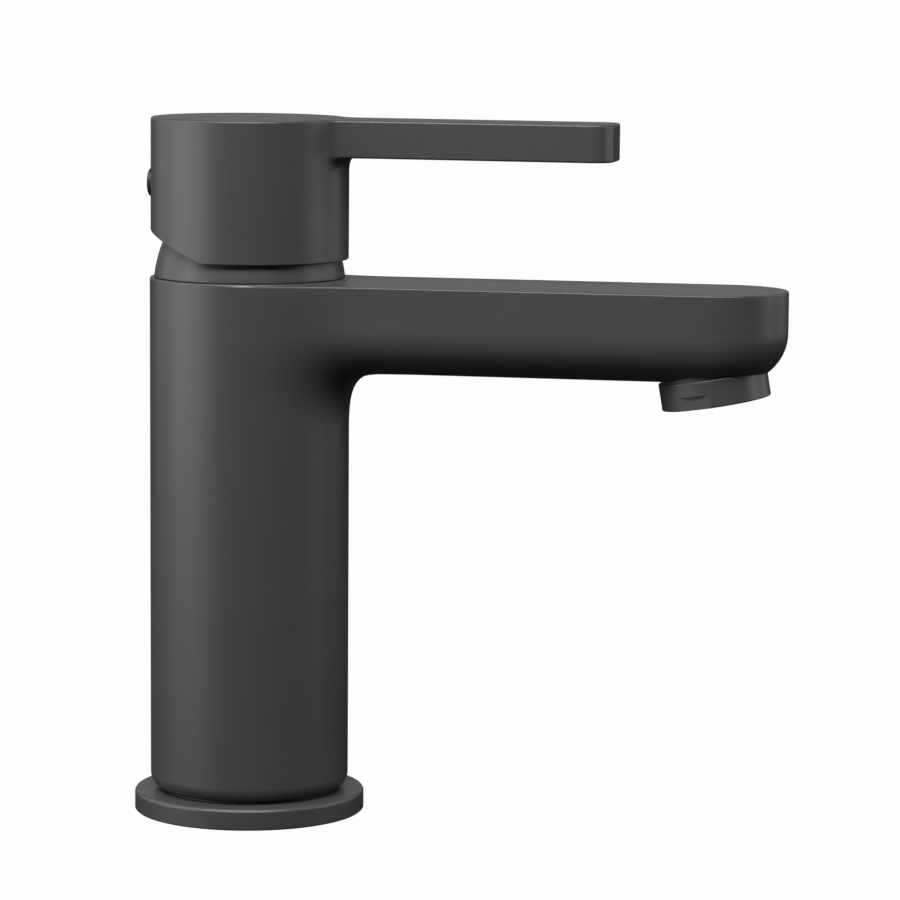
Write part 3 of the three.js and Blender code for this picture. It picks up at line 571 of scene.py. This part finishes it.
def aerator_place(size):
    """The matrix from the upright aerator to its tilted place under the spout."""
    sizes = bpy.context.scene.faucet_body
    centre = sizes.spout_reach - sizes.spout_half - size.drop / 2 * math.tan(size.tilt) - GAP
    there = Matrix.Translation((centre, 0, spout_bottom(sizes)))
    return there @ Matrix.Rotation(-size.tilt, 4, "Y")


def aerator_socket(size):
    """The stepped socket under the spout that takes the aerator."""
    shank_top = size.collar_top + size.shank + SOCKET_ROOM
    outline = [
        (0, -size.drop),
        (size.radius + GAP, -size.drop),
        (size.radius + GAP, size.collar_top + GAP),
        (size.shank_radius + GAP, size.collar_top + GAP),
        (size.shank_radius + GAP, shank_top),
        (0, shank_top),
    ]
    socket = turned("socket", outline, 96)
    socket.data.transform(aerator_place(size))
    return socket


class FAUCET_OT_body(bpy.types.Operator):
    """Column and spout in one piece, with the cartridge's bore and the holes in the foot"""

    bl_idname = "faucet.body"
    bl_label = "Column and spout"

    def execute(self, context):
        size = context.scene.faucet_body
        body = wrapped("body", body_rings(size))
        coat = finish("Matt black coat")
        body.data.materials.append(coat)
        holes = [rod(INLET_RADIUS, -PAST, INLET_DEPTH, 0, y) for y in (INLET_OFFSET, -INLET_OFFSET)]
        holes += [rod(STUD_RADIUS, -PAST, STUD_DEPTH, x, 0) for x in (STUD_OFFSET, -STUD_OFFSET)]
        holes.append(aerator_socket(context.scene.faucet_aerator))
        for hole in holes:
            hole.data.materials.append(finish("Turned brass"))
        carve(body, *holes)
        complete(body, "column_and_spout", "fixed", coat, ["faucet_body"])
        return {"FINISHED"}


class FAUCET_OT_base_ring(bpy.types.Operator):
    """Ring under the column, with the groove and the gasket that seals it to the deck"""

    bl_idname = "faucet.base_ring"
    bl_label = "Base ring and gasket"

    def execute(self, context):
        size = context.scene.faucet_body
        inner = size.spigot + GAP
        fillet = size.ring_fillet
        groove_out = gasket_high.x + GAP
        groove_in = groove_out - GROOVE_WIDTH
        groove_top = gasket_high.z + GAP
        edge = arc(size.ring_radius - fillet, size.ring_height - fillet, fillet, 0, 90, 6)
        outline = [(groove_out, 0), (size.ring_radius - RING_FOOT, 0)]
        outline += [(size.ring_radius, RING_FOOT)]
        outline += edge + [(inner, size.ring_height), (inner, 0)]
        outline += [(groove_in, 0), (groove_in, groove_top), (groove_out, groove_top)]
        ring = turned("ring", outline, 160)
        coat = finish("Matt black coat")
        complete(ring, "deck_ring", "fixed", coat, ["base_ring"])

        out = gasket_high.x - GASKET_ROUND
        inside = gasket_high.x - GASKET_WIDTH + GASKET_ROUND
        over = gasket_high.z - GASKET_ROUND
        outline = []
        for x, z, start in (
            (out, GASKET_ROUND, -90),
            (out, over, 0),
            (inside, over, 90),
            (inside, GASKET_ROUND, 180),
        ):
            outline += arc(x, z, GASKET_ROUND, start, start + 90, 3)
        gasket = turned("gasket", outline, 128)
        rubber = finish("Seal rubber")
        complete(gasket, "deck_gasket", "fixed", rubber, ["base_gasket"])
        return {"FINISHED"}


# ---- dome, handle, plug -------------------------------------------------------------------------


def dome_side(size, rim, wall, steps=12):
    """The dome's curved side, set in by a wall, from its foot to its shoulder."""
    bulge = size.dome_bulge
    centre = size.dome_radius - math.sqrt(bulge**2 - size.dome_bulge_drop**2)
    points = []
    for i in range(steps + 1):
        up = size.seam + (size.dome_visible - size.seam) * i / steps
        radius = centre + math.sqrt((bulge - wall) ** 2 - (up + size.dome_bulge_drop) ** 2)
        points.append((radius, rim + up))
    return points


class FAUCET_OT_dome(bpy.types.Operator):
    """Domed cover that closes the column round the cartridge"""

    bl_idname = "faucet.dome"
    bl_label = "Dome"

    def execute(self, context):
        size = context.scene.faucet_handle
        rim = context.scene.faucet_body.top
        top = dome_high.z
        shoulder = size.dome_hole + DOME_SHOULDER
        outside = dome_side(size, rim, 0) + [(shoulder, top)]
        inside = dome_side(size, rim, size.dome_wall) + [(shoulder, top - size.dome_wall)]
        lip = [(size.dome_hole, top), (size.dome_hole, top - size.dome_wall)]
        dome = turned("dome", outside + lip + inside[::-1], 144)
        bevel(dome, DOME_EDGE, segments=2, angle=25)
        coat = finish("Matt black coat")
        complete(dome, "dome", "fixed", coat, ["dome_cover"])
        return {"FINISHED"}


def handle_field(size, z, lever_bottom, inset=0):
    """The distance from the cap and the lever at one height, both drawn in by an inset."""

    def field(points):
        x, y = points[:, 0], points[:, 1]
        cap = np.hypot(x, y) - size.cap_radius + inset
        past_x = np.abs(x - size.reach / 2) - size.reach / 2 + size.corner
        past_y = np.abs(y) - size.half + size.corner
        outside = np.hypot(np.maximum(past_x, 0), np.maximum(past_y, 0))
        bar = outside + np.minimum(np.maximum(past_x, past_y), 0) - size.corner + inset
        fillet_z = lever_bottom + size.fillet
        if z < fillet_z:
            inwards = np.maximum(bar + size.fillet, 0)
            bar = np.hypot(inwards, fillet_z - z) - size.fillet
        return smooth_union(cap, bar, size.root_blend)

    return field


def handle_rings(size, bottom, top, lever_bottom):
    """Rings from the cap's underside, over its side and the lever, to the flat top."""
    rays = arm_rays(size.half, size.reach, size.corner)
    lower = [
        lever_bottom + size.fillet * (1 - math.cos(math.radians(angle)))
        for angle in (8, 24, 42, 60, 76, 90)
    ]
    first = arm_ring(rays, handle_field(size, lower[0], lever_bottom), HANDLE_REACH)
    outline = ArmedOutline(rays, first, wall_angle=20)
    rings = [outline.circle(0, bottom), outline.circle(size.cap_radius - CAP_CHAMFER, bottom)]
    rings += [outline.circle(size.cap_radius, bottom + up) for up in (CAP_CHAMFER, *CAP_RINGS)]
    for share in (0.95, 0.7, 0.5, 0.33, 0.2, 0.1, 0.04, 0.01):
        z = lever_bottom - share * size.root_blend
        rings.append(outline.polar(handle_field(size, z, lever_bottom), z, HANDLE_REACH))
    for z in lower:
        rings.append(outline.along_arm(handle_field(size, z, lever_bottom), z, HANDLE_REACH))
    for angle in (0, 15, 30, 45, 60, 75, 90):
        z = top - size.fillet * (1 - math.sin(math.radians(angle)))
        inset = size.fillet * (1 - math.cos(math.radians(angle)))
        field = handle_field(size, z, lever_bottom, inset)
        rings.append(outline.along_arm(field, z, HANDLE_REACH))
    rings.append(outline.circle(0, top))
    return rings


def handle_hollow(size, bottom):
    """What is cut from inside the cap: the room for the dome, less the boss and the screw's rib."""
    mouth = size.cap_radius - size.wall
    start = math.degrees(math.acos(mouth / size.roof))
    roof = arc(0, pivot.z, size.roof, start, 90, 14)
    flare = mouth + size.flare
    outline = [(0, bottom - PAST), (flare, bottom - PAST), (flare, bottom)]
    outline += [(mouth, bottom + size.flare_rise)] + roof
    hollow = turned("hollow", outline, 128)
    roof_z = pivot.z + size.roof
    boss = rod(BOSS_RADIUS, roof_z - BOSS_HEIGHT, roof_z + PAST)
    rib = rod_along_x(RIB_RADIUS, -size.cap_radius + PAST, 0, screw_z)
    return carve(hollow, boss, rib)


class FAUCET_OT_handle(bpy.types.Operator):
    """Lever handle: a round cap with a sloping heel and a flat lever flush with its top"""

    bl_idname = "faucet.handle"
    bl_label = "Lever handle"

    def execute(self, context):
        size = context.scene.faucet_handle
        bottom = context.scene.faucet_body.top + size.cap_lift
        top = bottom + size.cap_height
        handle = wrapped("handle", handle_rings(size, bottom, top, top - size.thickness))
        slope = block((-1.5 * SLOPE_BLOCK, -SLOPE_BLOCK, -SLOPE_BLOCK), (0, SLOPE_BLOCK, 0))
        turn_about(slope, size.heel_slope, "Y", (0, 0, 0))
        slope.data.transform(Matrix.Translation((-size.heel, 0, bottom)))
        carve(handle, slope, handle_hollow(size, bottom))
        socket = block(
            (-SOCKET_HALF_X, -SOCKET_HALF_Y, stem_high.z - SOCKET_DEPTH),
            (SOCKET_HALF_X, SOCKET_HALF_Y, stem_high.z + GAP),
        )
        back = -size.cap_radius
        hole = rod_along_x(SCREW_HOLE, back, 0, screw_z)
        counterbore = rod_along_x(PLUG_HOLE, back - PAST, back + PLUG_SEAT, screw_z)
        carve(handle, socket, hole, counterbore)
        turn_about(handle, size.droop, "Y", pivot)
        coat = finish("Matt black coat")
        complete(handle, "lever_handle_shell", "lever", coat, ["lever_handle"])
        return {"FINISHED"}


class FAUCET_OT_plug(bpy.types.Operator):
    """Index plug over the set screw at the back of the handle"""

    bl_idname = "faucet.plug"
    bl_label = "Index plug"

    def execute(self, context):
        depth = plug_high.x - plug_low.x - GAP
        outline = [(0, 0), (PLUG_RADIUS, 0)]
        outline += arc(PLUG_RADIUS - PLUG_ROUND, depth - PLUG_ROUND, PLUG_ROUND, 0, 90, 5)
        rim = PLUG_RADIUS - PLUG_RIM
        outline += [(rim, depth), (rim - PLUG_BEVEL, depth - PLUG_DISH), (0, depth - PLUG_MIDDLE)]
        plug = turned("plug", outline, 64)
        turn_about(plug, -math.pi / 2, "Y", (0, 0, 0))
        plug.data.transform(Matrix.Translation((plug_high.x, 0, screw_z)))
        complete(plug, "index_button", "lever", finish("Black plug with painted shade"), ["index_plug"])
        return {"FINISHED"}


# ---- aerator ------------------------------------------------------------------------------------


class FAUCET_OT_aerator(bpy.types.Operator):
    """Aerator collar with its two key flats, and the insert with its pattern of jets"""

    bl_idname = "faucet.aerator"
    bl_label = "Aerator"

    def execute(self, context):
        size = context.scene.faucet_aerator
        place = aerator_place(size)
        top = size.collar_top + size.shank
        edge = size.radius - COLLAR_ROUND
        outline = [(size.bore - PAST, -size.drop)]
        outline += arc(edge, -size.drop + COLLAR_ROUND, COLLAR_ROUND, -90, 0, 4)
        outline += arc(edge, size.collar_top - COLLAR_ROUND, COLLAR_ROUND, 0, 90, 4)
        outline += [(size.shank_radius, size.collar_top), (size.shank_radius, top)]
        outline += [(size.bore, top), (size.bore, -size.drop + size.lip)]
        outline += [(size.bore - PAST, -size.drop + size.lip)]
        collar = turned("collar", outline, 128)
        for side in (0, math.pi):
            face = size.radius - size.flat_depth
            half = size.flat_width / 2
            low = (face, -half, -size.drop - PAST)
            flat = block(low, (face + FLAT_BLOCK, half, -size.drop + size.flat_height))
            carve(collar, turn_about(flat, size.flat_turn + side, "Z", (0, 0, 0)))
        collar.data.transform(place)
        coat = finish("Matt black coat")
        complete(collar, "aerator_collar", "fixed", coat, ["aerator_housing"])

        radius = size.bore - GAP
        bottom = -size.drop + size.lip + GAP
        floor = bottom + INSERT_FLOOR
        inner = radius - INSERT_WALL
        outline = [(0, bottom), (radius, bottom), (radius, top - INSERT_DROP)]
        outline += [(inner, top - INSERT_DROP), (inner, floor), (0, floor)]
        insert = turned("insert", outline, 96)
        jets = []
        for ring, count in JET_RINGS:
            for step in range(count):
                angle = 2 * math.pi * step / count
                x, y = ring * math.cos(angle), ring * math.sin(angle)
                jets.append(rod(size.jet, bottom - PAST, floor + PAST, x, y, vertices=16))
        only(jets[0])
        for jet in jets:
            jet.select_set(True)
        bpy.ops.object.join()
        carve(insert, jets[0])
        insert.data.transform(place)
        grey = finish("Grey plastic")
        complete(insert, "aerator_jets", "fixed", grey, ["aerator_insert"])
        return {"FINISHED"}


# ---- finishes -----------------------------------------------------------------------------------


def surface_group():
    """A node group that varies a colour and a roughness with fine grain and soft unevenness."""
    name = "Surface grain"
    if name in bpy.data.node_groups:
        return bpy.data.node_groups[name]
    group = bpy.data.node_groups.new(name, "ShaderNodeTree")
    socket = group.interface.new_socket
    socket("Color", in_out="INPUT", socket_type="NodeSocketColor")
    for label, default in (
        ("Roughness", 0.5),
        ("Grain Scale", 2500),
        ("Patch Scale", 40),
        ("Color Variation", 0.1),
        ("Roughness Variation", 0.05),
    ):
        value = socket(label, in_out="INPUT", socket_type="NodeSocketFloat")
        value.default_value = default
    socket("Color", in_out="OUTPUT", socket_type="NodeSocketColor")
    socket("Roughness", in_out="OUTPUT", socket_type="NodeSocketFloat")
    socket("Height", in_out="OUTPUT", socket_type="NodeSocketFloat")
    nodes, links = group.nodes, group.links
    given = nodes.new("NodeGroupInput")
    made = nodes.new("NodeGroupOutput")
    place = nodes.new("ShaderNodeTexCoord")
    grain = nodes.new("ShaderNodeTexNoise")
    grain.inputs["Detail"].default_value = 3
    patch = nodes.new("ShaderNodeTexNoise")
    patch.inputs["Detail"].default_value = 4
    for noise, scale in ((grain, "Grain Scale"), (patch, "Patch Scale")):
        links.new(place.outputs["Object"], noise.inputs["Vector"])
        links.new(given.outputs[scale], noise.inputs["Scale"])

    def math_node(operation, first, second):
        node = nodes.new("ShaderNodeMath")
        node.operation = operation
        for port, value in zip(node.inputs, (first, second)):
            if isinstance(value, (int, float)):
                port.default_value = value
            else:
                links.new(value, port)
        return node.outputs[0]

    both = math_node("ADD", grain.outputs["Fac"], patch.outputs["Fac"])
    centred = math_node("SUBTRACT", both, 1)
    swing = math_node("MULTIPLY", centred, given.outputs["Color Variation"])
    gain = math_node("ADD", swing, 1)
    scaled = nodes.new("ShaderNodeVectorMath")
    scaled.operation = "SCALE"
    links.new(given.outputs["Color"], scaled.inputs[0])
    links.new(gain, scaled.inputs["Scale"])
    rough_swing = math_node("MULTIPLY", centred, given.outputs["Roughness Variation"])
    roughness = math_node("ADD", rough_swing, given.outputs["Roughness"])
    links.new(scaled.outputs["Vector"], made.inputs["Color"])
    links.new(roughness, made.inputs["Roughness"])
    links.new(grain.outputs["Fac"], made.inputs["Height"])
    return group


def finish(name):
    """A finish that was built before."""
    return bpy.data.materials[name]


def new_finish(name, base, roughness, metallic, grain, vary, bump):
    """Builds a finish. Grain holds the scales of its fine grain and of its soft patches, vary how
    much the colour and the roughness change over it, and bump is the strength of its relief."""
    material = bpy.data.materials.new(name)
    material.use_nodes = True
    nodes, links = material.node_tree.nodes, material.node_tree.links
    shader = nodes["Principled BSDF"]
    shader.inputs["Metallic"].default_value = metallic
    surface = nodes.new("ShaderNodeGroup")
    surface.node_tree = surface_group()
    surface.inputs["Color"].default_value = (*base, 1)
    surface.inputs["Roughness"].default_value = roughness
    surface.inputs["Grain Scale"].default_value = grain[0]
    surface.inputs["Patch Scale"].default_value = grain[1]
    surface.inputs["Color Variation"].default_value = vary[0]
    surface.inputs["Roughness Variation"].default_value = vary[1]
    relief = nodes.new("ShaderNodeBump")
    relief.inputs["Strength"].default_value = bump
    relief.inputs["Distance"].default_value = 0.05 * MM
    links.new(surface.outputs["Color"], shader.inputs["Base Color"])
    links.new(surface.outputs["Roughness"], shader.inputs["Roughness"])
    links.new(surface.outputs["Height"], relief.inputs["Height"])
    links.new(relief.outputs["Normal"], shader.inputs["Normal"])
    return material


class FAUCET_OT_finishes(bpy.types.Operator):
    """Builds every finish and gives each part of the frame the one that its slot names"""

    bl_idname = "faucet.finishes"
    bl_label = "Finishes"

    def execute(self, context):
        look = context.scene.faucet_finishes
        coat = look.coat_roughness
        made = {
            "matt_black": new_finish(
                "Matt black coat", look.coat, coat, 0, (2200, 60), (0.12, 0.05), 0.25
            ),
            "black_rubber": new_finish(
                "Seal rubber", look.rubber, 0.75, 0, (900, 60), (0.3, 0.1), 0.4
            ),
            "white_plastic": new_finish(
                "White plastic", look.white, 0.42, 0, (700, 30), (0.05, 0.06), 0.1
            ),
            "grey_plastic": new_finish(
                "Grey plastic", look.grey, 0.42, 0, (700, 30), (0.08, 0.06), 0.1
            ),
            "red_plastic": new_finish(
                "Red plastic", look.red, 0.4, 0, (700, 30), (0.08, 0.06), 0.1
            ),
            "ceramic": new_finish(
                "Fired ceramic", look.ceramic, 0.22, 0, (500, 20), (0.05, 0.05), 0.03
            ),
            "brass": new_finish(
                "Turned brass", look.brass, 0.32, 1, (600, 50), (0.15, 0.12), 0.15
            ),
            "steel": new_finish(
                "Bright steel", look.steel, 0.28, 1, (600, 50), (0.12, 0.12), 0.12
            ),
        }
        # The plug's finish is darker than the coat: painted shade over the plug's own black.
        new_finish("Black plug with painted shade", look.plug, 0.5, 0, (2200, 60), (0.12, 0.05), 0.1)
        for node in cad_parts.values():
            for port in node.material_slots:
                port.material = made[port.material.name.split(".")[0]]
        return {"FINISHED"}


# ---- studio -------------------------------------------------------------------------------------


LIT_POINT = Vector((30 * MM, 0, 100 * MM))  # every light faces this point of the faucet

# Name, degrees round from the front, distance, height, width and height of the light, watts
LIGHTS = (
    ("left_softbox", -65, 1.0, 0.62, (0.3, 0.9), 3.4),
    ("left_high", -85, 1.0, 0.62, (0.3, 0.9), 0.9),
    ("left_edge", -105, 1.0, 0.35, (0.4, 1.0), 1.7),
    ("left_low", -60, 0.9, 0.05, (0.9, 0.25), 3.2),
    ("right_softbox", 98, 1.0, 0.35, (0.4, 1.0), 2.8),
    ("right_edge", 130, 1.0, 0.35, (0.4, 1.0), 1.6),
    ("front_ceiling", 0, 0.6, 0.95, (1.2, 0.5), 22),
    ("backdrop", 195, 1.3, 0.3, (1.4, 0.35), 0.8),
)


def area_light(name, round_from_front, away, height, size, power):
    """A rectangular soft light that stands round the faucet and faces it."""
    angle = math.radians(round_from_front)
    data = bpy.data.lights.new(name, "AREA")
    data.shape = "RECTANGLE"
    data.size, data.size_y = size
    data.energy = power
    light = bpy.data.objects.new(name, data)
    bpy.context.scene.collection.objects.link(light)
    light.location = (LIT_POINT.x + away * math.sin(angle), -away * math.cos(angle), height)
    light.rotation_mode = "QUATERNION"
    light.rotation_quaternion = (LIT_POINT - light.location).to_track_quat("-Z", "Y")
    light.visible_camera = False


def floor_material():
    """Pale to the eye and dim to the object, which reflects little of it; clear from below."""
    material = bpy.data.materials.new("Pale floor")
    material.use_nodes = True
    nodes, links = material.node_tree.nodes, material.node_tree.links
    nodes.clear()
    result = nodes.new("ShaderNodeOutputMaterial")
    pale = nodes.new("ShaderNodeEmission")
    pale.inputs["Color"].default_value = (1, 1, 1, 1)
    pale.inputs["Strength"].default_value = 0.99
    dim = nodes.new("ShaderNodeBsdfDiffuse")
    dim.inputs["Color"].default_value = (0.02, 0.02, 0.02, 1)
    clear = nodes.new("ShaderNodeBsdfTransparent")
    rays = nodes.new("ShaderNodeLightPath")
    side = nodes.new("ShaderNodeNewGeometry")
    seen = nodes.new("ShaderNodeMixShader")
    below = nodes.new("ShaderNodeMixShader")
    links.new(rays.outputs["Is Camera Ray"], seen.inputs["Fac"])
    links.new(dim.outputs[0], seen.inputs[1])
    links.new(pale.outputs[0], seen.inputs[2])
    links.new(side.outputs["Backfacing"], below.inputs["Fac"])
    links.new(seen.outputs[0], below.inputs[1])
    links.new(clear.outputs[0], below.inputs[2])
    links.new(below.outputs[0], result.inputs["Surface"])
    return material


def room_light():
    """White to the camera, and to the object a soft glow from above the horizon."""
    world = bpy.data.worlds.new("Studio")
    bpy.context.scene.world = world
    world.use_nodes = True
    nodes, links = world.node_tree.nodes, world.node_tree.links
    nodes.clear()
    result = nodes.new("ShaderNodeOutputWorld")
    seen = nodes.new("ShaderNodeBackground")
    seen.inputs["Color"].default_value = (1, 1, 1, 1)
    glow = nodes.new("ShaderNodeBackground")
    glow.inputs["Strength"].default_value = 0.02
    place = nodes.new("ShaderNodeTexCoord")
    split = nodes.new("ShaderNodeSeparateXYZ")
    rise = nodes.new("ShaderNodeMapRange")
    rise.inputs["From Min"].default_value = 0
    rise.inputs["From Max"].default_value = 0.6
    links.new(place.outputs["Generated"], split.inputs["Vector"])
    links.new(split.outputs["Z"], rise.inputs["Value"])
    links.new(rise.outputs["Result"], glow.inputs["Color"])
    rays = nodes.new("ShaderNodeLightPath")
    mix = nodes.new("ShaderNodeMixShader")
    links.new(rays.outputs["Is Camera Ray"], mix.inputs["Fac"])
    links.new(glow.outputs[0], mix.inputs[1])
    links.new(seen.outputs[0], mix.inputs[2])
    links.new(mix.outputs[0], result.inputs["Surface"])


class FAUCET_OT_stage(bpy.types.Operator):
    """Pale floor, soft lights and the camera"""

    bl_idname = "faucet.stage"
    bl_label = "Studio"

    def execute(self, context):
        studio = context.scene.faucet_studio
        deselect_all()
        bpy.ops.mesh.primitive_plane_add(size=60, location=(0, 0, -0.05 * MM))
        floor = added("studio_floor")
        floor.data.materials.append(floor_material())
        room_light()
        for light in LIGHTS:
            area_light(*light)
        context.scene.view_settings.view_transform = "Standard"

        across = Vector((math.cos(studio.azimuth), math.sin(studio.azimuth), 0))
        back = Vector((
            math.sin(studio.azimuth) * math.cos(studio.elevation),
            -math.cos(studio.azimuth) * math.cos(studio.elevation),
            math.sin(studio.elevation),
        ))
        target = across * studio.side_step + Vector((0, 0, studio.look_height))
        data = bpy.data.cameras.new("camera")
        data.sensor_width = 36
        data.lens = studio.lens
        data.clip_start, data.clip_end = 0.05, 100
        camera = bpy.data.objects.new("camera", data)
        context.scene.collection.objects.link(camera)
        camera.location = back * studio.distance + Vector((0, 0, studio.stand_height))
        facing = (target - camera.location).to_track_quat("-Z", "Y")
        camera.rotation_mode = "QUATERNION"
        camera.rotation_quaternion = facing @ Quaternion((0, 0, 1), studio.roll)
        context.scene.camera = camera
        return {"FINISHED"}


class FAUCET_PT_panel(bpy.types.Panel):
    """Lists the steps that build the faucet, in order"""

    bl_idname = "FAUCET_PT_panel"
    bl_label = "Basin mixer"
    bl_space_type = "VIEW_3D"
    bl_region_type = "UI"
    bl_category = "Faucet"

    def draw(self, context):
        for step in STEPS:
            self.layout.operator(step.bl_idname)
        for group in SETTINGS:
            settings = getattr(context.scene, group)
            box = self.layout.box()
            for name in settings.bl_rna.properties.keys():
                if name not in ("rna_type", "name"):
                    box.prop(settings, name)


STEPS = (
    FAUCET_OT_finishes,
    FAUCET_OT_body,
    FAUCET_OT_base_ring,
    FAUCET_OT_dome,
    FAUCET_OT_handle,
    FAUCET_OT_plug,
    FAUCET_OT_aerator,
    FAUCET_OT_stage,
)
SETTINGS = {
    "faucet_body": FaucetBodySizes,
    "faucet_handle": FaucetHandleSizes,
    "faucet_aerator": FaucetAeratorSizes,
    "faucet_finishes": FaucetFinishes,
    "faucet_studio": FaucetStudio,
}


def register():
    for cls in (*SETTINGS.values(), *STEPS, FAUCET_PT_panel):
        bpy.utils.register_class(cls)
    for name, group in SETTINGS.items():
        setattr(bpy.types.Scene, name, bpy.props.PointerProperty(type=group))


def unregister():
    for name in SETTINGS:
        delattr(bpy.types.Scene, name)
    for cls in (FAUCET_PT_panel, *reversed(STEPS), *reversed(SETTINGS.values())):
        bpy.utils.unregister_class(cls)


def main():
    register()
    for step in STEPS:
        group, name = step.bl_idname.split(".")
        getattr(getattr(bpy.ops, group), name)()


if __name__ == "__main__":
    main()
